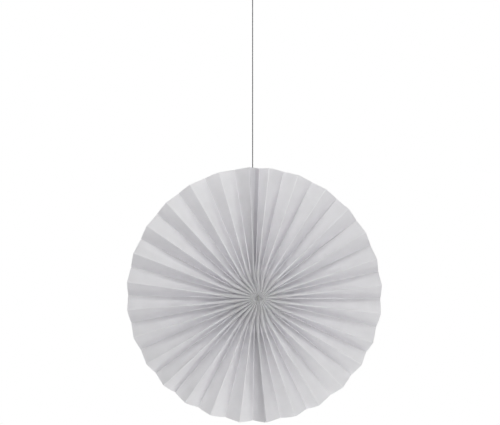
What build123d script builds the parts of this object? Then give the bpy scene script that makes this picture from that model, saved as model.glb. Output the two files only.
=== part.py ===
# Paper fan medallion: one pleated sheet, tied round its waist and opened into a full circle.
# It faces -Y and hangs on a thread. The origin is where the thread's top loop bears on its hook.
import os
from math import cos, pi, radians, sin, sqrt

from build123d import *

# Sheet, in millimetres
fan_radius = 203.0
rim_depth = 11.3  # depth that the widest pleat still has at the rim
paper_thickness = 0.2
rim_notch = 1.0  # how far a valley's rim corner lies inside a ridge's

# How far each pleat is opened, in degrees, from the top seam round to the bottom seam.
# The fan is opened by hand, so they differ a little. Both sides together are evened out to a full turn.
right_openings = [8.5, 13, 13.5, 13.2, 12.8, 12.8, 12, 12.7, 13.7, 11.3, 13.5, 13.8, 12.4, 13.8]
left_openings = [13.5, 13.7, 13, 13.3, 13.3, 13.2, 12.5, 12.7, 13.3, 12.5, 12.8, 13, 14, 12.2]

# The folds run straight out from the hub. Opening the fan leaves its rim and its tie a little off it.
rim_left = 0.5
rim_high = 6.9
tie_right = 5.8
tie_high = 1.7

# Waist, where the folded stack is tied
stack_pitch = 0.22  # from one panel to the next
waist_length = 1.6  # the straight part that the tie lies on
waist_reach = 1.5  # how far the outermost panels run on before they turn
nesting = 1.5  # how much further a panel runs on, for each millimetre that it lies inside the stack
neck_radius = 8.0  # where the folds leave the waist's bend
neck_reach = 3.0  # how far the bend holds its direction there
fanning = 4.0  # how far beside the tie the middle folds fan out from
settle_radius = 45.0  # where all folds run straight out from the hub

# Seams, where the two halves of each end panel are stuck face to face
seam_turn = 2.2  # degrees that the seams lean to the left of upright
top_fin_lean = 15.7  # degrees that the stuck panels lean sideways at the rim
bottom_fin_lean = -7.0
tape_thickness = 0.1
tape_clearance = 0.05
tape_width = 12.0
tape_start = 1  # stations left free by the neck
tape_stop = 1  # and by the rim

# Waist tie
tie_thread = 0.8
tie_clearance = 0.1
tie_corner = 0.2  # on the inside of its bends
tie_knot_width = 2.4
tie_knot_length = 3.2
tie_tail = 9.0
tie_tail_spread = 20.0  # degrees from straight down

# Hanging hole and thread
hole_radius = 0.9
hole_inset = 7.0  # from the rim to the hole's centre
punch_length = 3.0
thread_diameter = 1.0
thread_clearance = 0.1
thread_sides = 8
elbow_radius = 1.1
knot_width = 2.8
knot_length = 3.0
knot_bevel = 0.7
hang_drop = 298.0  # from the hook down to the hole
loop_height = 16.0
loop_width = 7.2
loop_shoulder = 12.0

# Worked out from the sizes above
panels = 2 * len(right_openings)
first_line = -1  # the free edge of the top end panel
last_line = panels + 1  # the free edge of the bottom end panel
lines = range(first_line, last_line + 1)
half_paper = paper_thickness / 2
half_thread = thread_diameter / 2
seam_offset = (tape_thickness + paper_thickness) / 2 + tape_clearance
rim_centre = Vector(-rim_left, 0, rim_high)
tie_place = Vector(tie_right, 0, tie_high)
openings_in_all = sum(right_openings) + sum(left_openings)

# A panel is as wide as it takes for the widest pleat to reach across at the rim and keep its depth
widest_turn = pi * max(right_openings + left_openings) / openings_in_all
widest_spread = 2 * (fan_radius + rim_centre.length) * sin(widest_turn / 2)
panel_width = sqrt(widest_spread**2 + rim_depth**2)

# Stations along a fold, from the tie outwards: even steps round the bend, then shares of the straight run
bend_steps = 5
run_shares = [0.03, 0.07, 0.12, 0.19, 0.34, 0.55, 0.77, 1.0]


def fold_angles(openings):
    """Angle of each fold from the top seam: a ridge on each side of a pleat, a valley in its middle."""
    even = 2 * pi / openings_in_all
    angles = [0.0]
    for opening in openings:
        start = angles[-1]
        angles += [start + opening * even / 2, start + opening * even]
    return angles


def pleat_depth(opening, distance):
    """Depth of a pleat at a distance from the hub: its panels keep their width as it opens."""
    spread = 2 * distance * sin(opening / 2)
    return sqrt(panel_width**2 - spread**2)


def bend(start, shoulder, elbow, end, t):
    """A point on the smooth curve from start to end that the two middle points pull on."""
    s = 1 - t
    return start * s**3 + shoulder * (3 * t * s**2) + elbow * (3 * t**2 * s) + end * t**3


class HalfFan:
    """The folds on one side of the tie: side is 1 on the right and -1 on the left."""

    def __init__(self, openings, side):
        self.side = side
        self.angles = fold_angles(openings)

    def direction(self, line):
        angle = self.angles[line]
        return Vector(self.side * sin(angle), 0, cos(angle))

    def run_length(self, line):
        """How far a fold runs from the hub before it meets the rim's circle."""
        reach = fan_radius - (rim_notch if line % 2 else 0)
        along = rim_centre.dot(self.direction(line))
        across = (rim_centre - self.direction(line) * along).length
        return along + sqrt(reach**2 - across**2)

    def half_depth(self, line, distance):
        """How far a fold stands from the fan's middle plane, from the pleats beside it."""
        beside = [abs(self.angles[line] - self.angles[n]) for n in (line - 1, line + 1) if 0 <= n <= panels]
        return sum(pleat_depth(opening, distance) for opening in beside) / len(beside) / 2

    def depth_offset(self, line, fold, distance):
        """The step in depth from the middle plane to a line: ridges forwards, valleys backwards."""
        halves = (right_half, left_half) if fold in (0, panels) else (self,)
        depth = sum(half.half_depth(fold, distance) for half in halves) / len(halves)
        offset = Vector(0, depth if fold % 2 else -depth, 0)
        if line == fold:
            return offset
        full_lean = top_fin_lean if line < 0 else bottom_fin_lean
        lean = radians(full_lean * distance / self.run_length(fold))
        return offset + Vector(sin(lean), cos(lean), 0) * panel_width

    def centre(self, line, distance):
        """What a fold fans out from at a distance: a place beside the tie at the neck, then the hub."""
        beside_tie = tie_place + Vector(self.side * fanning * sin(self.angles[line]), 0, 0)
        share = min((distance - neck_radius) / (settle_radius - neck_radius), 1)
        return beside_tie * (1 - share**2 * (3 - 2 * share))

    def points(self, line):
        """The middle of the paper along one line, from the tie to the rim. Free edges follow their fold."""
        fold = min(max(line, 0), panels)
        outward = self.direction(fold)
        apart = Vector(seam_offset * self.side if fold in (0, panels) else 0, 0, 0)
        start = tie_place + Vector(self.side * waist_length / 2, 0, (panels / 2 - line) * stack_pitch)
        buried = min(fold, panels - fold) * stack_pitch
        shoulder = start + Vector(self.side * (waist_reach + nesting * buried), 0, 0)
        neck = self.centre(fold, neck_radius) + outward * neck_radius + apart
        elbow = neck - outward * neck_reach
        found = []
        for step in range(bend_steps + 1):
            t = step / bend_steps
            place = bend(start, shoulder, elbow, neck, t)
            found.append(place + self.depth_offset(line, fold, neck_radius * t))
        for share in run_shares:
            distance = neck_radius + (self.run_length(fold) - neck_radius) * share
            place = self.centre(fold, distance) + outward * distance + apart
            found.append(place + self.depth_offset(line, fold, distance))
        return found


right_half = HalfFan(right_openings, 1)
left_half = HalfFan(left_openings, -1)


def is_ridge(line):
    return line % 2 == 0


def panel_normals(folds):
    """The direction square to each panel at each station, towards the back of the sheet."""
    stations = len(folds[first_line])
    normals = {}
    for line in lines[:-1]:
        upper, lower = folds[line], folds[line + 1]
        row = []
        for j in range(stations):
            before, after = max(j - 1, 0), min(j + 1, stations - 1)
            along = upper[after] + lower[after] - upper[before] - lower[before]
            row.append(along.cross(lower[j] - upper[j]).normalized())
        normals[line] = row
    return normals


def mitre(before, after):
    """From a fold's middle to the inner corner where the two panels' faces meet."""
    return (before + after) * (half_paper / (1 + before.dot(after)))


def skin(folds, normals, towards):
    """Each line's two edges on one face of the paper: towards is -1 on the front and 1 on the back.

    The outside of a fold is a narrow flat, as wide as the paper needs, and its inside is one mitred corner.
    """
    edges = {}
    for line in lines:
        before = normals[max(line - 1, first_line)]
        after = normals[min(line, last_line - 1)]
        outside = is_ridge(line) == (towards < 0)
        pairs = []
        for middle, one, other in zip(folds[line], before, after):
            steps = (one * half_paper, other * half_paper) if outside else (mitre(one, other),) * 2
            pairs.append([middle + step * towards for step in steps])
        edges[line] = [list(edge) for edge in zip(*pairs)]
    return edges


def strip(first, second):
    """Flat triangles between two lines of points, split the same way on both sides of the tie."""
    middle = (len(first) - 1) / 2
    faces = []
    for j in range(len(first) - 1):
        a, b, c, d = first[j], first[j + 1], second[j + 1], second[j]
        corners = [(a, b, d), (b, c, d)] if j < middle else [(a, b, c), (a, c, d)]
        faces += [Face(Wire.make_polygon(three)) for three in corners]
    return faces


def make_sheet():
    folds = {line: left_half.points(line)[::-1] + right_half.points(line) for line in lines}
    normals = panel_normals(folds)
    front, back = skin(folds, normals, -1), skin(folds, normals, 1)
    faces = []
    for line in lines[:-1]:
        for edges in (front, back):
            faces += strip(edges[line][1], edges[line + 1][0])
    for line in lines[1:-1]:
        outer = front[line] if is_ridge(line) else back[line]
        faces += strip(*outer)
    for line, edge in ((first_line, 1), (last_line, 0)):
        faces += strip(front[line][edge], back[line][edge])
    for end in (0, -1):
        faces += rim_faces(front, back, end)
    return Solid(Shell(faces))


def rim_faces(front, back, end):
    """The cut edge of the paper at one end of every panel and fold."""
    faces = []
    for line in lines[:-1]:
        near = [front[line][1][end], front[line + 1][0][end]]
        far = [back[line][1][end], back[line + 1][0][end]]
        faces += strip(near, far)
    for line in lines[1:-1]:
        outer, inner = (front, back) if is_ridge(line) else (back, front)
        corner = [inner[line][0][end], outer[line][0][end], outer[line][1][end]]
        faces.append(Face(Wire.make_polygon(corner)))
    return faces


def seam_line(line):
    """One side of a seam's middle surface beyond the neck, station by station."""
    apart = Vector(seam_offset, 0, 0)
    return [place - apart for place in right_half.points(line)[bend_steps:]]


def between(first, second, share):
    """A line at a share of the way between two lines, with a point wherever the paper is creased."""
    found = []
    for j in range(len(first) - 1):
        found.append(first[j] + (second[j] - first[j]) * share)
        found.append(first[j] + (second[j + 1] - first[j]) * share)
    found.append(first[-1] + (second[-1] - first[-1]) * share)
    return found


def make_tape(upper, lower):
    """Double sided tape along the middle of the stuck panels between two lines."""
    half_tape = Vector(tape_thickness / 2, 0, 0)
    tape_share = tape_width / panel_width
    stretch = slice(2 * tape_start, -2 * tape_stop)
    corners = []
    for share in ((1 - tape_share) / 2, (1 + tape_share) / 2):
        middle = between(seam_line(upper), seam_line(lower), share)[stretch]
        corners.append([place - half_tape for place in middle])
        corners.append([place + half_tape for place in middle])
    near_left, near_right, far_left, far_right = corners
    faces = strip(near_left, far_left) + strip(near_right, far_right)
    faces += strip(near_left, near_right) + strip(far_left, far_right)
    for end in (0, -1):
        outline = [near_left[end], far_left[end], far_right[end], near_right[end]]
        faces.append(Face(Wire.make_polygon(outline)))
    return Solid(Shell(faces))


def hole_axis():
    """The hanging hole's centre and direction, in the middle of the top end panel's width."""
    ridge, edge = seam_line(0), seam_line(first_line)
    outward = (edge[-1] - edge[-2]).normalized()
    centre = (ridge[-1] + edge[-1]) / 2 - outward * hole_inset
    square = (edge[-1] - ridge[-1]).cross(outward).normalized()
    return centre, square


def tube(path, diameter):
    """Thread along a path, with few flat sides because it is so thin."""
    start = Plane(origin=path @ 0, z_dir=path % 0)
    return sweep(start * RegularPolygon(diameter / 2, thread_sides), path=path)


def knot(width, length):
    """A tight knot: a short barrel with bevelled ends, along Z and centred."""
    barrel = Cylinder(width / 2, length)
    return chamfer(barrel.edges().filter_by(GeomType.CIRCLE), knot_bevel)


def make_waist_tie():
    """Thread once round the tied stack, knotted at the back, with two short tails."""
    half_height = (panels / 2 + 1) * stack_pitch + half_paper + tie_clearance + tie_thread / 2
    half_width = (panel_width + tie_thread) / 2 + tie_clearance
    outline = Plane.YZ * RectangleRounded(2 * half_width, 2 * half_height, tie_corner + tie_thread / 2)
    knot_place = Pos(0, half_width + tie_knot_width / 2 - tie_thread / 2, 0)
    tie = tube(outline.wire(), tie_thread) + knot_place * knot(tie_knot_width, tie_knot_length)
    for turn in (-tie_tail_spread, tie_tail_spread):
        tail = Line((0, 0, 0), (0, 0, -tie_tail))
        tie += knot_place * Rot(0, turn, 0) * tube(tail, tie_thread)
    return tie


def make_stopper_knot(across):
    """The thread's lower end: it turns in through the hole and is knotted on the stuck panels' far side."""
    gap = seam_offset + half_paper + thread_clearance
    corner = across * (gap + half_thread)
    top = corner + Vector(0, 0, 2 * elbow_radius)
    inside_knot = across * -(gap + knot_bevel)
    path = FilletPolyline(inside_knot, corner, top, radius=elbow_radius)
    place = Plane(origin=across * -(gap + knot_length / 2), z_dir=across)
    return tube(path, thread_diameter) + place * knot(knot_width, knot_length), top


def make_hook_loop(foot):
    """The thread's upper end: a knot, and a loop that goes over a hook with its crown at the origin."""
    crown = half_thread
    half_width = loop_width / 2
    inset = half_thread + thread_clearance
    waist = crown - loop_height / 2
    crown_radius = half_width - thread_clearance
    path = FilletPolyline(
        (inset, 0, foot - knot_bevel),
        (half_width, 0, waist),
        (half_width, 0, crown),
        (-half_width, 0, crown),
        (-half_width, 0, waist),
        (-inset, 0, foot - knot_bevel),
        radius=[loop_shoulder, crown_radius, crown_radius, loop_shoulder],
    )
    return tube(path, thread_diameter) + Pos(0, 0, foot - knot_length / 2) * knot(knot_width, knot_length)


# The hanging line passes through the origin. The fan is turned so that its seams lean, then hung below it.
turn = Rot(0, -seam_turn, 0)
hole_centre, hole_square = hole_axis()
punch = Plane(origin=hole_centre, z_dir=hole_square) * Cylinder(hole_radius, punch_length)
hole_at = (turn * Pos(hole_centre)).position
across = Vector(hole_square.X, hole_square.Y, 0).normalized()
stopper, elbow_top = make_stopper_knot(across)
drop = Vector(-elbow_top.X, -elbow_top.Y, -hang_drop)
hang = Pos(drop - hole_at) * turn
loop_foot = half_thread - loop_height
thread_foot = elbow_top.Z - hang_drop
thread_top = loop_foot - knot_length
thread_length = thread_top - thread_foot

nodes = {
    "pleated_sheet": hang * (make_sheet() - punch),
    "top_seam_tape": hang * make_tape(first_line, 0),
    "bottom_seam_tape": hang * make_tape(panels, last_line),
    "waist_tie": hang * Pos(tie_place) * make_waist_tie(),
    "stopper_knot": Pos(drop) * stopper,
    "hanging_thread": Pos(0, 0, thread_foot + thread_length / 2) * Cylinder(half_thread, thread_length),
    "hook_loop": make_hook_loop(loop_foot),
}

os.makedirs("parts", exist_ok=True)
for name, shape in nodes.items():
    export_step(shape, f"parts/{name}.step")
rim_middle = hang * Pos(rim_centre)
print("hanging line to the middle of the rim:", rim_middle.position)
print("thread length:", thread_length)
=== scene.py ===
from math import cos, pi, radians, sin, sqrt

import bpy
from mathutils import Matrix, Vector


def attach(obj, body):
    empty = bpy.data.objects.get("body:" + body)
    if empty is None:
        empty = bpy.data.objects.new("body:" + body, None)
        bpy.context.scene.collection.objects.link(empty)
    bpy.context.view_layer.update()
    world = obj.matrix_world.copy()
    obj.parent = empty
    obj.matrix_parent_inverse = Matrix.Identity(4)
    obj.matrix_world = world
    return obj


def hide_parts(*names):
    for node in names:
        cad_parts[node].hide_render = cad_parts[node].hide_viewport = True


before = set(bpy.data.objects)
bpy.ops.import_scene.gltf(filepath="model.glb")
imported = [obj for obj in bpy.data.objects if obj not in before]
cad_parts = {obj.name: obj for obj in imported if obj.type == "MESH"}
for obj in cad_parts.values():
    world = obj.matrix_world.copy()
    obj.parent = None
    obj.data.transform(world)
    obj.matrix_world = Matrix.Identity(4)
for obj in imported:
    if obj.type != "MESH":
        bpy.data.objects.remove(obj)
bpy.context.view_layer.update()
print("frame loaded")


def addObject(name, data):
    made = bpy.data.objects.new(name, data)
    bpy.context.scene.collection.objects.link(made)
    return made


camera = {
    "aim": (-0.0042, -0.0047, -0.3629),
    "distance": 1.6,
    "viewWidth": 0.7967,  # at the fan
    "sensor": 36.0,
}


def placeCamera():
    data = bpy.data.cameras.new("photoCamera")
    data.sensor_width = camera["sensor"]
    data.lens = camera["sensor"] * camera["distance"] / camera["viewWidth"]
    shot = addObject("photoCamera", data)
    shot.location = Vector(camera["aim"]) - Vector((0, camera["distance"], 0))
    shot.rotation_euler = (radians(90), 0, 0)
    bpy.context.scene.camera = shot


placeCamera()
print("camera placed")


# Short ways to write node trees

def addNode(tree, kind, inputs=(), **settings):
    node = tree.nodes.new(kind)
    for name, value in settings.items():
        setattr(node, name, value)
    for key, value in dict(inputs).items():
        if isinstance(value, bpy.types.NodeSocket):
            tree.links.new(value, node.inputs[key])
        else:
            node.inputs[key].default_value = value
    return node


def reckon(tree, operation, *values):
    return addNode(tree, "ShaderNodeMath", enumerate(values), operation=operation).outputs[0]


def reckonVector(tree, operation, *values):
    node = addNode(tree, "ShaderNodeVectorMath", enumerate(values), operation=operation)
    return node.outputs["Value" if operation == "LENGTH" else "Vector"]


def scaleVector(tree, vector, amount):
    inputs = {"Vector": vector, "Scale": amount}
    return addNode(tree, "ShaderNodeVectorMath", inputs, operation="SCALE").outputs[0]


def blendRange(tree, value, low, high, first, last, smooth=False):
    inputs = {"Value": value, "From Min": low, "From Max": high, "To Min": first, "To Max": last}
    kind = "SMOOTHSTEP" if smooth else "LINEAR"
    return addNode(tree, "ShaderNodeMapRange", inputs, interpolation_type=kind).outputs[0]


def newTree(name, kind, inputs, outputs):
    tree = bpy.data.node_groups.new(name, kind)
    for way, sockets in (("INPUT", inputs), ("OUTPUT", outputs)):
        for label, socket in sockets:
            tree.interface.new_socket(label, in_out=way, socket_type="NodeSocket" + socket)
    return tree, tree.nodes.new("NodeGroupInput").outputs


def newMeshTree(name, inputs):
    geometry = [("Geometry", "Geometry")]
    return newTree(name, "GeometryNodeTree", geometry + inputs, geometry)


def endMeshTree(tree, geometry, material):
    smooth = addNode(tree, "GeometryNodeSetShadeSmooth", {"Geometry": geometry}).outputs[0]
    real = addNode(tree, "GeometryNodeRealizeInstances", {"Geometry": smooth}).outputs[0]
    inputs = {"Geometry": real, "Material": material}
    painted = addNode(tree, "GeometryNodeSetMaterial", inputs).outputs[0]
    addNode(tree, "NodeGroupOutput", {0: painted})


def finalMesh(holder):
    graph = bpy.context.evaluated_depsgraph_get()
    mesh = bpy.data.meshes.new_from_object(holder.evaluated_get(graph))
    bpy.data.objects.remove(holder)
    return mesh


def runTree(name, startMesh, tree, values, thickness=0, sharpFrom=0):
    # runs the tree on the start mesh and keeps what comes out as a plain mesh
    maker = addObject(name + "Maker", startMesh)
    step = maker.modifiers.new("nodes", "NODES")
    step.node_group = tree
    for item in tree.interface.items_tree:
        if item.in_out == "INPUT" and item.name in values:
            step[item.identifier] = values[item.name]
    if thickness:
        wall = maker.modifiers.new("thickness", "SOLIDIFY")
        wall.thickness = thickness
        wall.offset = 0
    mesh = finalMesh(maker)
    mesh.name = name
    if sharpFrom:
        mesh.set_sharp_from_angle(angle=radians(sharpFrom))
    return addObject(name, mesh)


def routeLine(name, points):
    # a smooth line through the route, as a mesh of edges
    curve = bpy.data.curves.new(name + "Route", "CURVE")
    curve.dimensions = "3D"
    curve.resolution_u = 12
    spline = curve.splines.new("NURBS")
    spline.points.add(len(points) - 1)
    for point, place in zip(spline.points, points):
        point.co = (*place, 1)
    spline.order_u = 3
    spline.use_endpoint_u = True
    return finalMesh(addObject(name + "Route", curve))


def newMaterial(name):
    material = bpy.data.materials.new(name)
    material.use_nodes = True
    material.node_tree.nodes.clear()
    return material, material.node_tree


def objectSpot(tree):
    return addNode(tree, "ShaderNodeTexCoord").outputs["Object"]


def makeFibreGroup():
    # fine fibres for paper, thread and tape: a tone about 1 and a height
    tree, given = newTree("fibres", "ShaderNodeTree",
                          [("Vector", "Vector"), ("Scale", "Float"), ("Contrast", "Float")],
                          [("Tone", "Float"), ("Height", "Float")])
    inputs = {"Vector": given["Vector"], "Scale": given["Scale"], "Detail": 4.0}
    height = addNode(tree, "ShaderNodeTexNoise", inputs).outputs["Fac"]
    swing = reckon(tree, "MULTIPLY", reckon(tree, "SUBTRACT", height, 0.5), given["Contrast"])
    addNode(tree, "NodeGroupOutput", {"Tone": reckon(tree, "ADD", swing, 1), "Height": height})
    return tree


fibreGroup = makeFibreGroup()


def addFibres(tree, spot, look):
    inputs = {"Vector": spot, "Scale": look["fibreScale"], "Contrast": look["fibreContrast"]}
    return addNode(tree, "ShaderNodeGroup", inputs, node_tree=fibreGroup).outputs


def addBump(tree, height, look):
    inputs = {"Height": height, "Strength": look["bump"], "Distance": look["bumpDepth"]}
    return addNode(tree, "ShaderNodeBump", inputs).outputs[0]


# Threads: strands twisted round the line that the thread follows

twine = {
    "strands": 3,
    "strandOffset": 0.22,  # this and the radius are shares of the thread's diameter
    "strandRadius": 0.28,
    "strandSides": 8,
    "stepsPerDiameter": 3,
    "pointsPerTurn": 12,
    "tuck": 0.4,  # a knot's ends lie at this share of its radius
    "roughness": 0.95,
    "shine": 0.08,
    "bump": 0.5,
    "bumpDepth": 0.0001,
}


def makeThreadTree():
    tree, given = newMeshTree("twistStrands", [
        ("Strands", "Int"), ("Diameter", "Float"), ("Twist Length", "Float"), ("Step", "Float"),
        ("Thread", "Material"),
    ])
    line = addNode(tree, "GeometryNodeMeshToCurve", {"Mesh": given["Geometry"]}).outputs[0]
    even = addNode(tree, "GeometryNodeResampleCurve", {"Curve": line, "Length": given["Step"]},
                   mode="LENGTH").outputs[0]
    copies = addNode(tree, "GeometryNodeDuplicateElements",
                     {"Geometry": even, "Amount": given["Strands"]}, domain="SPLINE").outputs
    along = addNode(tree, "GeometryNodeSplineParameter").outputs["Length"]
    turns = reckon(tree, "ADD", reckon(tree, "DIVIDE", along, given["Twist Length"]),
                   reckon(tree, "DIVIDE", copies["Duplicate Index"], given["Strands"]))
    angle = reckon(tree, "MULTIPLY", turns, 2 * pi)
    normal = addNode(tree, "GeometryNodeInputNormal").outputs[0]
    tangent = addNode(tree, "GeometryNodeInputTangent").outputs[0]
    side = reckonVector(tree, "CROSS_PRODUCT", tangent, normal)
    aside = reckonVector(tree, "ADD",
                         scaleVector(tree, normal, reckon(tree, "COSINE", angle)),
                         scaleVector(tree, side, reckon(tree, "SINE", angle)))
    away = reckon(tree, "MULTIPLY", given["Diameter"], twine["strandOffset"])
    moved = addNode(tree, "GeometryNodeSetPosition", {
        "Geometry": copies["Geometry"], "Offset": scaleVector(tree, aside, away),
    }).outputs[0]
    outline = addNode(tree, "GeometryNodeCurvePrimitiveCircle", {
        "Resolution": twine["strandSides"],
        "Radius": reckon(tree, "MULTIPLY", given["Diameter"], twine["strandRadius"]),
    }).outputs[0]
    tubes = addNode(tree, "GeometryNodeCurveToMesh", {
        "Curve": moved, "Profile Curve": outline, "Fill Caps": True,
    }).outputs[0]
    endMeshTree(tree, tubes, given["Thread"])
    return tree


threadTree = makeThreadTree()


def makeThreadMaterial(name, look):
    material, tree = newMaterial(name)
    fibres = addFibres(tree, objectSpot(tree), look)
    face = addNode(tree, "ShaderNodeBsdfPrincipled", {
        "Base Color": scaleVector(tree, look["colour"], fibres["Tone"]),
        "Roughness": twine["roughness"],
        "Specular IOR Level": twine["shine"],
        "Normal": addBump(tree, fibres["Height"], twine),
    }).outputs[0]
    addNode(tree, "ShaderNodeOutputMaterial", {"Surface": face})
    return material


def makeThread(name, points, kind, material, line=None):
    slot, diameter = kind["slot"], kind["diameter"]
    piece = runTree(name, line or routeLine(name, points), threadTree, {
        "Strands": twine["strands"], "Diameter": diameter, "Twist Length": kind["twist"],
        "Step": diameter / twine["stepsPerDiameter"], "Thread": material,
    })
    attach(piece, "root")
    return piece


def windings(kind, place):
    # points of a close winding along the place's Z whose two ends are tucked in
    radius = (kind["knotWidth"] - kind["diameter"]) / 2
    height = kind["knotLength"] - kind["diameter"]
    count = round(kind["knotTurns"] * twine["pointsPerTurn"])
    points = []
    for step in range(count + 1):
        angle = 2 * pi * step / twine["pointsPerTurn"]
        out = radius * (twine["tuck"] if step in (0, count) else 1)
        rise = height * (step / count - 0.5)
        points.append(place @ Vector((out * cos(angle), out * sin(angle), rise)))
    return points


hanging = {
    "diameter": 0.0015,
    "twist": 0.004,
    "slot": "hanging_thread",
    "holePlace": (-0.00087, 0.00024, -0.298),
    # out of the stuck panels on the side where the thread runs up
    "throughHole": (0.9650, -0.2620, 0),
    "intoKnot": 0.0019,
    "straightFrom": 0.006,
    "topKnotFoot": -0.0185,
    "knotWidth": 0.0028,
    "knotLength": 0.003,
    "knotTurns": 2.6,
    "knotGap": 0.0004,
    "length": 0.2835,
    "look": {"colour": (0.022, 0.022, 0.026), "fibreScale": 2600.0, "fibreContrast": 0.8},
}
loop = {"height": 0.016, "width": 0.0072, "crown": 0.0006, "footGap": 0.0007}


def hangTheFan():
    darkThread = makeThreadMaterial("darkThread", hanging["look"])
    hole = Vector(hanging["holePlace"])
    across = Vector(hanging["throughHole"])
    foot, thread = hanging["topKnotFoot"], hanging["diameter"]
    knotHalf = hanging["knotLength"] / 2
    topKnotHeight = foot + knotHalf

    route = [
        hole - across * hanging["intoKnot"],
        Vector((0, 0, hole.z)),
        Vector((0, 0, hole.z + hanging["straightFrom"])),
        Vector((0, 0, foot - hanging["straightFrom"])),
        Vector((0, 0, topKnotHeight)),
    ]
    line = routeLine("hangingThread", route)
    cord = makeThread("hangingThread", route, hanging, darkThread, line)

    knotAxis = (-across).to_track_quat("Z", "Y").to_matrix().to_4x4()
    knotPlace = Matrix.Translation(hole - across * (hanging["knotGap"] + knotHalf)) @ knotAxis
    stopper = makeThread("stopperKnot", windings(hanging, knotPlace), hanging, darkThread)

    topPlace = Matrix.Translation((0, 0, topKnotHeight))
    topKnot = makeThread("loopKnot", windings(hanging, topPlace), hanging, darkThread)

    half = loop["width"] / 2
    waist = loop["crown"] - loop["height"] / 2
    side = [(loop["footGap"], topKnotHeight), (half, waist), (half, loop["crown"])]
    points = [(x, 0, z) for x, z in side] + [(-x, 0, z) for x, z in side[::-1]]
    eye = makeThread("hookLoop", points, hanging, darkThread)

    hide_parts("hanging_thread")
    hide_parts("stopper_knot")
    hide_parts("hook_loop")


hangTheFan()
print("thread, knots and loop made")


# The pleated sheet

sheet = {
    "fanRadius": 0.203,
    "panelWidth": 0.028,
    "thickness": 0.0001,
    "rimNotch": 0.001,
    # about how many degrees each pleat opens, from the top down; together they fill the circle
    "rightOpenings": [8.5, 13, 13.5, 13.2, 12.8, 12.8, 12,
                      12.7, 13.7, 11.3, 13.5, 13.8, 12.4, 13.8],
    "leftOpenings": [13.5, 13.7, 13, 13.3, 13.3, 13.2, 12.5,
                     12.7, 13.3, 12.5, 12.8, 13, 14, 12.2],
    "hubPlace": (0.003384, -0.003839, -0.500896),  # where the folds' straight runs meet
    "rimCentre": (-0.0005, 0, 0.0069),  # from the hub
    "tiePlace": (0.0058, 0, 0.0017),
    "stackPitch": 0.00022,
    "waistLength": 0.0016,
    "waistReach": 0.001,
    "nesting": 1.0,
    "neckRadius": 0.006,
    "neckReach": 0.0025,
    "fanning": 0.002,
    "settleRadius": 0.045,
    "seamTurn": 2.2,
    "topLean": 15.7,
    "bottomLean": -7.0,
    "seamGap": 0.0002,
    "partingStart": 0.14,  # beyond the tape the stuck ridges part a little
    "parting": 0.0006,
    "bendSteps": 8,
    "runSteps": 42,
    "panelSteps": 16,
    "sharpFrom": 50,
    # each pair of distances from the hub says where a change begins and where it is done
    "fullness": 0.74,  # near the tie panels swell beside each fold, by this share of their spread
    "fullBegins": (0.002, 0.008),
    "fullFrom": 0.026,
    "fullTo": 0.066,
    "swellDepth": 1.7,  # how deep below the fold the swell is, as a share of the spread
    "deepestSwell": 0.4,
    "arch": 0.06,
    "foldRound": 0.0006,
    "roundPower": 0.25,
    "roundFades": (0.06, 0.15),
    "roundShrinks": 4,
    "widestRound": 0.3,
    "ripple": 0.0004,
    "rippleLength": 0.07,
    "rippleScale": 1.6,
    "rippleShift": 7.3,  # from one panel to the next, so that no two ripple alike
    "rippleGrows": (0.02, 0.15),
    "rippleGrowth": 4.0,
    "rippleSeed": 4,
}
panels = 2 * len(sheet["rightOpenings"])
rimCentre = Vector(sheet["rimCentre"])
toFan = (Matrix.Translation(sheet["hubPlace"])
         @ Matrix.Rotation(radians(-sheet["seamTurn"]), 4, "Y"))


def foldAngles(openings):
    even = 2 * pi / sum(sheet["rightOpenings"] + sheet["leftOpenings"])
    angles = [0.0]
    for opening in openings:
        start = angles[-1]
        angles += [start + opening * even / 2, start + opening * even]
    return angles


foldAngle = {1: foldAngles(sheet["rightOpenings"]), -1: foldAngles(sheet["leftOpenings"])}


def foldDirection(line, side):
    angle = foldAngle[side][line]
    return Vector((side * sin(angle), 0, cos(angle)))


def runLength(line, side):
    outward = foldDirection(line, side)
    reach = sheet["fanRadius"] - (sheet["rimNotch"] if line % 2 else 0)
    along = rimCentre.dot(outward)
    across = (rimCentre - outward * along).length
    return along + sqrt(reach**2 - across**2)


def halfDepth(line, side, distance):
    # a pleat's panels keep their width as it opens, so its depth follows from how wide it is
    angles = foldAngle[side]
    depths = []
    for beside in (line - 1, line + 1):
        if 0 <= beside <= panels:
            spread = 2 * distance * sin(abs(angles[line] - angles[beside]) / 2)
            depths.append(sqrt(sheet["panelWidth"]**2 - spread**2))
    return sum(depths) / len(depths) / 2


def depthOffset(line, fold, side, distance):
    sides = (1, -1) if fold in (0, panels) else (side,)
    depth = sum(halfDepth(fold, each, distance) for each in sides) / len(sides)
    offset = Vector((0, depth if fold % 2 else -depth, 0))
    if line == fold:
        return offset
    lean = sheet["topLean"] if line < 0 else sheet["bottomLean"]
    lean = radians(lean * distance / runLength(fold, side))
    return offset + Vector((sin(lean), cos(lean), 0)) * sheet["panelWidth"]


def fanCentre(fold, side, distance):
    # near the tie the folds fan out from beside it, and further out from the hub
    aside = side * sheet["fanning"] * sin(foldAngle[side][fold])
    neck = sheet["neckRadius"]
    share = min((distance - neck) / (sheet["settleRadius"] - neck), 1)
    return (Vector(sheet["tiePlace"]) + Vector((aside, 0, 0))) * (1 - share**2 * (3 - 2 * share))


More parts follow.
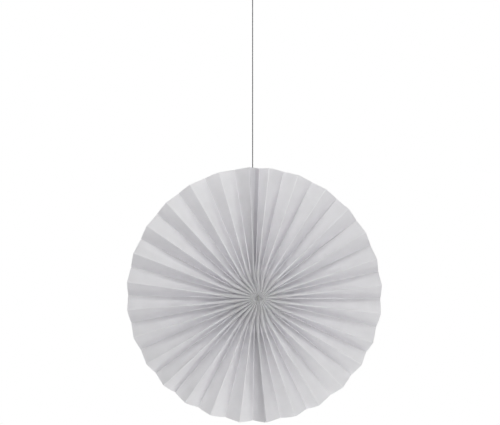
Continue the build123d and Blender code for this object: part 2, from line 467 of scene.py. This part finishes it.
def foldPlaces(line, side):
    # the two lines beyond the folds are the free edges of the end panels
    fold = min(max(line, 0), panels)
    outward = foldDirection(fold, side)
    full = runLength(fold, side)
    radius = sheet["neckRadius"]
    atSeam = fold in (0, panels)
    height = (panels / 2 - line) * sheet["stackPitch"]
    buried = min(fold, panels - fold) * sheet["stackPitch"]
    start = Vector(sheet["tiePlace"]) + Vector((side * sheet["waistLength"] / 2, 0, height))
    onward = side * (sheet["waistReach"] + sheet["nesting"] * buried)
    shoulder = start + Vector((onward, 0, 0))
    apart = Vector((side * sheet["seamGap"] if atSeam else 0, 0, 0))
    neck = fanCentre(fold, side, radius) + outward * radius + apart
    elbow = neck - outward * sheet["neckReach"]
    places = []
    # a smooth bend out of the stack, then the run to the rim
    for step in range(sheet["bendSteps"] + 1):
        t = step / sheet["bendSteps"]
        s = 1 - t
        place = start * s**3 + shoulder * (3 * t * s**2) + elbow * (3 * t**2 * s) + neck * t**3
        distance = radius * t
        places.append((place + depthOffset(line, fold, side, distance), distance))
    for step in range(1, sheet["runSteps"] + 1):
        share = step / sheet["runSteps"]
        distance = radius + (full - radius) * share
        place = fanCentre(fold, side, distance) + outward * distance + apart
        if atSeam and line == fold:
            loose = (distance - sheet["partingStart"]) / (full - sheet["partingStart"])
            place.x += side * sheet["parting"] * max(0, loose)
        places.append((place + depthOffset(line, fold, side, distance), distance))
    return places


def makeFoldLines():
    points, reaches = [], []
    for line in range(-1, panels + 2):
        row = foldPlaces(line, -1)[::-1] + foldPlaces(line, 1)
        points += [toFan @ place for place, distance in row]
        reaches += [distance for place, distance in row]
    mesh = bpy.data.meshes.new("foldLines")
    mesh.from_pydata(points, [], [])
    mesh.attributes.new("reach", "FLOAT", "POINT").data.foreach_set("value", reaches)
    return mesh, len(row)


def makePleatTree():
    tree, given = newMeshTree("pleatTheSheet", [
        ("Stations", "Int"), ("Panels", "Int"), ("Panel Steps", "Int"), ("Panel Width", "Float"),
        ("Fullness", "Float"), ("Full From", "Float"), ("Full To", "Float"),
        ("Swell Depth", "Float"), ("Arch", "Float"), ("Fold Round", "Float"),
        ("Ripple", "Float"), ("Ripple Length", "Float"), ("Seed", "Int"), ("Paper", "Material"),
    ])

    def add(first, second):
        return reckon(tree, "ADD", first, second)

    def subtract(first, second):
        return reckon(tree, "SUBTRACT", first, second)

    def multiply(first, second):
        return reckon(tree, "MULTIPLY", first, second)

    def divide(first, second):
        return reckon(tree, "DIVIDE", first, second)

    def least(first, second):
        return reckon(tree, "MINIMUM", first, second)

    def sine(value, angle):
        return reckon(tree, "SINE", multiply(value, angle))

    def smoothly(reaches, first, last):
        return blendRange(tree, reach, *reaches, first, last, smooth=True)

    # the grid has a column for each line across a panel and a row for each station along a fold
    stations, steps = given["Stations"], given["Panel Steps"]
    wide = add(multiply(given["Panels"], steps), 1)
    grid = addNode(tree, "GeometryNodeMeshGrid",
                   {"Vertices X": wide, "Vertices Y": stations}).outputs["Mesh"]
    index = addNode(tree, "GeometryNodeInputIndex").outputs[0]
    column = reckon(tree, "FLOOR", divide(index, stations))
    station = subtract(index, multiply(column, stations))
    lastPanel = subtract(given["Panels"], 1)
    panel = least(reckon(tree, "FLOOR", divide(column, steps)), lastPanel)
    evenShare = subtract(divide(column, steps), panel)
    # columns crowd together at the folds, so that each crease is tight
    share = divide(subtract(1, reckon(tree, "COSINE", multiply(evenShare, pi))), 2)
    here = addNode(tree, "GeometryNodeInputPosition").outputs[0]

    def sample(value, kind, line, place):
        inputs = {"Geometry": given["Geometry"], "Value": value,
                  "Index": add(multiply(line, stations), place)}
        return addNode(tree, "GeometryNodeSampleIndex", inputs, data_type=kind,
                       clamp=True).outputs[0]

    before = reckon(tree, "MAXIMUM", subtract(station, 1), 0)
    after = least(add(station, 1), subtract(stations, 1))
    near = sample(here, "FLOAT_VECTOR", panel, station)
    far = sample(here, "FLOAT_VECTOR", add(panel, 1), station)
    ahead = sample(here, "FLOAT_VECTOR", panel, after)
    behind = sample(here, "FLOAT_VECTOR", panel, before)
    stored = addNode(tree, "GeometryNodeInputNamedAttribute", {"Name": "reach"},
                     data_type="FLOAT").outputs[0]
    reach = sample(stored, "FLOAT", panel, station)
    across = reckonVector(tree, "SUBTRACT", far, near)
    along = reckonVector(tree, "SUBTRACT", ahead, behind)
    square = reckonVector(tree, "CROSS_PRODUCT", along, across)
    backward = reckonVector(tree, "NORMALIZE", square)
    flat = reckonVector(tree, "ADD", near, scaleVector(tree, across, share))
    spread = reckonVector(tree, "LENGTH", reckonVector(tree, "MULTIPLY", across, (1, 0, 1)))

    # the end panels are stuck flat
    inner = multiply(reckon(tree, "GREATER_THAN", panel, 0.5),
                     reckon(tree, "LESS_THAN", panel, subtract(lastPanel, 0.5)))
    streak = addNode(tree, "ShaderNodeCombineXYZ", {
        "X": add(multiply(panel, sheet["rippleShift"]), share),
        "Y": divide(reach, given["Ripple Length"]),
        "Z": given["Seed"],
    }).outputs[0]
    noise = addNode(tree, "ShaderNodeTexNoise", {
        "Vector": streak, "Scale": sheet["rippleScale"], "Detail": 2.0,
    }).outputs[0]
    ripple = multiply(subtract(noise, 0.5), given["Ripple"])
    ripple = multiply(ripple, sine(share, pi))
    ripple = multiply(ripple, smoothly(sheet["rippleGrows"], 0.0, sheet["rippleGrowth"]))

    # the first line is the free edge, so the odd lines are ridges
    ridge = reckon(tree, "MODULO", add(panel, reckon(tree, "GREATER_THAN", share, 0.5)), 2)
    outside = subtract(1, multiply(ridge, 2))
    foldShare = least(share, subtract(1, share))
    peak = divide(multiply(spread, given["Swell Depth"]), given["Panel Width"])
    peak = least(peak, sheet["deepestSwell"])
    rise = divide(foldShare, peak)
    fall = divide(subtract(0.5, foldShare), subtract(0.5, peak))
    full = smoothly((given["Full From"], given["Full To"]), given["Fullness"], 0.0)
    full = multiply(full, smoothly(sheet["fullBegins"], 0.0, 1.0))
    swell = multiply(multiply(sine(least(rise, fall), pi / 2), outside), multiply(spread, full))
    arch = multiply(sine(share, pi), multiply(spread, given["Arch"]))

    # a fold is round where it can be: the paper leaves it a little to the outside
    bead = sine(reckon(tree, "POWER", multiply(foldShare, 2), sheet["roundPower"]), pi)
    beadSize = blendRange(tree, reach, *sheet["roundFades"], given["Fold Round"],
                          divide(given["Fold Round"], sheet["roundShrinks"]))
    beadSize = least(beadSize, multiply(spread, sheet["widestRound"]))
    bead = multiply(multiply(bead, beadSize), outside)

    lift = multiply(add(subtract(ripple, arch), add(bead, swell)), inner)
    place = reckonVector(tree, "ADD", flat, scaleVector(tree, backward, lift))
    # the paper's material reads how far from its fold each point is
    inputs = {"Geometry": grid, "Name": "foldGap",
              "Value": multiply(given["Panel Width"], foldShare)}
    marked = addNode(tree, "GeometryNodeStoreNamedAttribute", inputs, data_type="FLOAT").outputs[0]
    inputs = {"Geometry": marked, "Position": place}
    moved = addNode(tree, "GeometryNodeSetPosition", inputs).outputs[0]
    endMeshTree(tree, moved, given["Paper"])
    return tree


paper = {
    "colour": (0.800, 0.796, 0.812),
    # paler paper at each fold: partly whitened fibres in the crease, partly a painted highlight
    # where the fold catches light
    "foldWhiteningAndPaintedHighlight": (0.90, 0.90, 0.905, 1),
    "foldWhiteningAndHighlightFades": (0.0001, 0.0009),  # from the fold
    "lightThrough": (0.985, 0.978, 0.994, 1),
    "throughShare": 0.55,
    "roughness": 0.85,
    "shine": 0.3,
    "cloudScale": 45.0,
    "cloudNoise": (0.3, 0.7),
    "cloudTone": (0.95, 1.03),
    "fibreScale": 1400.0,
    "fibreContrast": 0.1,
    "bump": 0.45,
    "bumpDepth": 0.0001,
}


def makePaper():
    material, tree = newMaterial("pleatedPaper")
    spot = objectSpot(tree)
    fibres = addFibres(tree, spot, paper)
    clouds = addNode(tree, "ShaderNodeTexNoise", {
        "Vector": spot, "Scale": paper["cloudScale"], "Detail": 3.0,
    }).outputs["Fac"]
    cloudTone = blendRange(tree, clouds, *paper["cloudNoise"], *paper["cloudTone"])
    tone = reckon(tree, "MULTIPLY", cloudTone, fibres["Tone"])
    foldGap = addNode(tree, "ShaderNodeAttribute", attribute_name="foldGap").outputs["Fac"]
    # the paper turns paler towards each fold: partly whitened fibres, partly a painted highlight
    # where the fold catches light
    foldWhiteningAndHighlightMask = blendRange(tree, foldGap, *paper["foldWhiteningAndHighlightFades"], 1.0, 0.0, smooth=True)
    # sockets 6 and 7 are the two colours of a colour mix
    colour = addNode(tree, "ShaderNodeMix", {
        "Factor": foldWhiteningAndHighlightMask, 6: scaleVector(tree, paper["colour"], tone), 7: paper["foldWhiteningAndPaintedHighlight"],
    }, data_type="RGBA").outputs[2]
    face = addNode(tree, "ShaderNodeBsdfPrincipled", {
        "Base Color": colour,
        "Roughness": paper["roughness"],
        "Specular IOR Level": paper["shine"],
        "Normal": addBump(tree, fibres["Height"], paper),
    }).outputs[0]
    inputs = {"Color": paper["lightThrough"]}
    through = addNode(tree, "ShaderNodeBsdfTranslucent", inputs).outputs[0]
    inputs = {0: paper["throughShare"], 1: face, 2: through}
    both = addNode(tree, "ShaderNodeMixShader", inputs).outputs[0]
    addNode(tree, "ShaderNodeOutputMaterial", {"Surface": both})
    return material


def pleatTheFan():
    foldLines, stations = makeFoldLines()
    fan = runTree("pleatedFan", foldLines, makePleatTree(), {
        "Stations": stations, "Panels": panels + 2, "Panel Steps": sheet["panelSteps"],
        "Panel Width": sheet["panelWidth"], "Fullness": sheet["fullness"],
        "Full From": sheet["fullFrom"], "Full To": sheet["fullTo"],
        "Swell Depth": sheet["swellDepth"], "Arch": sheet["arch"],
        "Fold Round": sheet["foldRound"], "Ripple": sheet["ripple"],
        "Ripple Length": sheet["rippleLength"], "Seed": sheet["rippleSeed"],
        "Paper": makePaper(),
    }, sheet["thickness"], sheet["sharpFrom"])
    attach(fan, "root")
    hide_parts("pleated_sheet")
    print("sheet pleated:", len(fan.data.polygons), "faces")


pleatTheFan()


# The tie round the waist: a few turns of white thread, knotted at the back

tie = {
    "diameter": 0.00055,
    "twist": 0.0022,
    "slot": "tie_thread",
    "turns": 3,
    "spacing": 0.0005,
    "clearance": 0.00015,
    "corner": 0.0006,
    "knotWidth": 0.0024,
    "knotLength": 0.0032,
    "knotTurns": 4,
    "tail": 0.009,
    "tailSpread": 20.0,
    "tailCurve": ((0, 0), (0.3, 0.4), (0.65, 0.8), (1, 1.1)),  # shares of its length and spread
    "look": {"colour": (0.80, 0.80, 0.79), "fibreScale": 2600.0, "fibreContrast": 0.25},
}


def tieTheWaist():
    toTie = toFan @ Matrix.Translation(sheet["tiePlace"])
    whiteThread = makeThreadMaterial("whiteThread", tie["look"])
    gap = tie["clearance"] + tie["diameter"] / 2
    high = (panels / 2 + 1) * sheet["stackPitch"] + sheet["thickness"] / 2 + gap
    deep = sheet["panelWidth"] / 2 + gap
    inset = tie["corner"]
    # once round: three points at each corner, starting in the middle of the back
    outline = [(deep, 0),
               (deep, high - inset), (deep, high), (deep - inset, high),
               (inset - deep, high), (-deep, high), (-deep, high - inset),
               (-deep, inset - high), (-deep, -high), (inset - deep, -high),
               (deep - inset, -high), (deep, -high), (deep, inset - high)]
    points = []
    across = -tie["spacing"] * (tie["turns"] - 1) / 2
    for turn in range(tie["turns"]):
        for step, (y, z) in enumerate(outline):
            slide = tie["spacing"] * (turn + step / len(outline) - 0.5)
            points.append(toTie @ Vector((across + slide, y, z)))
    points.append(toTie @ Vector((across + tie["spacing"] * (tie["turns"] - 0.5), deep, 0)))
    pieces = [makeThread("waistTie", points, tie, whiteThread)]

    knotPlace = toTie @ Matrix.Translation((0, deep + tie["knotWidth"] / 2, 0))
    pieces.append(makeThread("waistKnot", windings(tie, knotPlace), tie, whiteThread))
    for name, side in (("waistTailLeft", -1), ("waistTailRight", 1)):
        lean = radians(side * tie["tailSpread"])
        drop = [Vector((sin(lean * bend) * far, 0, -cos(lean * bend) * far)) * tie["tail"]
                for far, bend in tie["tailCurve"]]
        points = [knotPlace @ point for point in drop]
        pieces.append(makeThread(name, points, tie, whiteThread))
    for piece in pieces:
        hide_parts("waist_tie")


tieTheWaist()
print("waist tied")


# The tapes keep their CAD nodes and get a milky film

tape = {
    "colour": (0.82, 0.82, 0.79),
    "roughness": 0.35,
    "fibreScale": 900.0,
    "fibreContrast": 0.12,
}


def coverTapes():
    material, tree = newMaterial("milkyTape")
    fibres = addFibres(tree, objectSpot(tree), tape)
    face = addNode(tree, "ShaderNodeBsdfPrincipled", {
        "Base Color": scaleVector(tree, tape["colour"], fibres["Tone"]),
        "Roughness": tape["roughness"],
    }).outputs[0]
    addNode(tree, "ShaderNodeOutputMaterial", {"Surface": face})
    for name in ("top_seam_tape", "bottom_seam_tape"):
        strip = bpy.data.objects[name]
        strip.data.materials.clear()
        strip.data.materials.append(material)


coverTapes()
print("tapes covered")


# Floor, white surroundings and soft light

ground = {
    "halfWidth": 2.0,
    "height": -1.3,
    "colour": (0.85, 0.85, 0.85, 1),
    "roughness": 0.9,
    "glow": 0.7,  # the share of white that only the camera sees, so that the floor is pale
}
light = {
    "worldStrength": 0.09,
    "worldColour": (0.97, 1, 0.955, 1),
    "lampColour": (0.985, 1, 0.965),
    "bounces": 12,  # light passes through the paper many times near the middle of the fan
    "lampSize": 0.3,
    "lamps": {
        "rightLight": {"place": (1.1, -0.6, -0.5), "power": 3.3},
        "topLight": {"place": (-0.1, -0.45, 0.12), "power": 2.4},
        "lowLight": {"place": (0.1, -0.2, -1.15), "power": 1.7},
        "backLight": {"place": (0.15, 0.65, -1.1), "power": 2.4},
    },
}


def blendWhite(tree, share, shader, kind):
    white = addNode(tree, kind, {"Color": (1, 1, 1, 1), "Strength": 1.0}).outputs[0]
    return addNode(tree, "ShaderNodeMixShader", {0: share, 1: shader, 2: white}).outputs[0]


def layFloor():
    material, tree = newMaterial("paleFloor")
    ray = addNode(tree, "ShaderNodeLightPath").outputs
    face = addNode(tree, "ShaderNodeBsdfPrincipled", {
        "Base Color": ground["colour"], "Roughness": ground["roughness"],
    }).outputs[0]
    glow = reckon(tree, "MULTIPLY", ray["Is Camera Ray"], ground["glow"])
    pale = blendWhite(tree, glow, face, "ShaderNodeEmission")
    addNode(tree, "ShaderNodeOutputMaterial", {"Surface": pale})

    half, low = ground["halfWidth"], ground["height"]
    corners = [(-half, -half, low), (half, -half, low), (half, half, low), (-half, half, low)]
    mesh = bpy.data.meshes.new("floor")
    mesh.from_pydata(corners, [], [(0, 1, 2, 3)])
    mesh.materials.append(material)
    floor = addObject("floor", mesh)


def surroundWithWhite():
    world = bpy.data.worlds.new("softWorld")
    bpy.context.scene.world = world
    world.use_nodes = True
    tree = world.node_tree
    tree.nodes.clear()
    ray = addNode(tree, "ShaderNodeLightPath").outputs
    seen = reckon(tree, "MAXIMUM", ray["Is Glossy Ray"], ray["Is Transmission Ray"])
    seen = reckon(tree, "MAXIMUM", ray["Is Camera Ray"], seen)
    inputs = {"Color": light["worldColour"], "Strength": light["worldStrength"]}
    soft = addNode(tree, "ShaderNodeBackground", inputs).outputs[0]
    surface = blendWhite(tree, seen, soft, "ShaderNodeBackground")
    addNode(tree, "ShaderNodeOutputWorld", {"Surface": surface})


def setLamps():
    middle = Vector(sheet["hubPlace"])
    for name, lamp in light["lamps"].items():
        data = bpy.data.lights.new(name, "AREA")
        data.color = light["lampColour"]
        data.energy = lamp["power"]
        data.size = light["lampSize"]
        holder = addObject(name, data)
        holder.location = lamp["place"]
        aim = middle - Vector(lamp["place"])
        holder.rotation_euler = aim.to_track_quat("-Z", "Y").to_euler()


layFloor()
surroundWithWhite()
setLamps()
bpy.context.scene.view_settings.view_transform = "Standard"
bpy.context.scene.cycles.diffuse_bounces = light["bounces"]
print("light set")
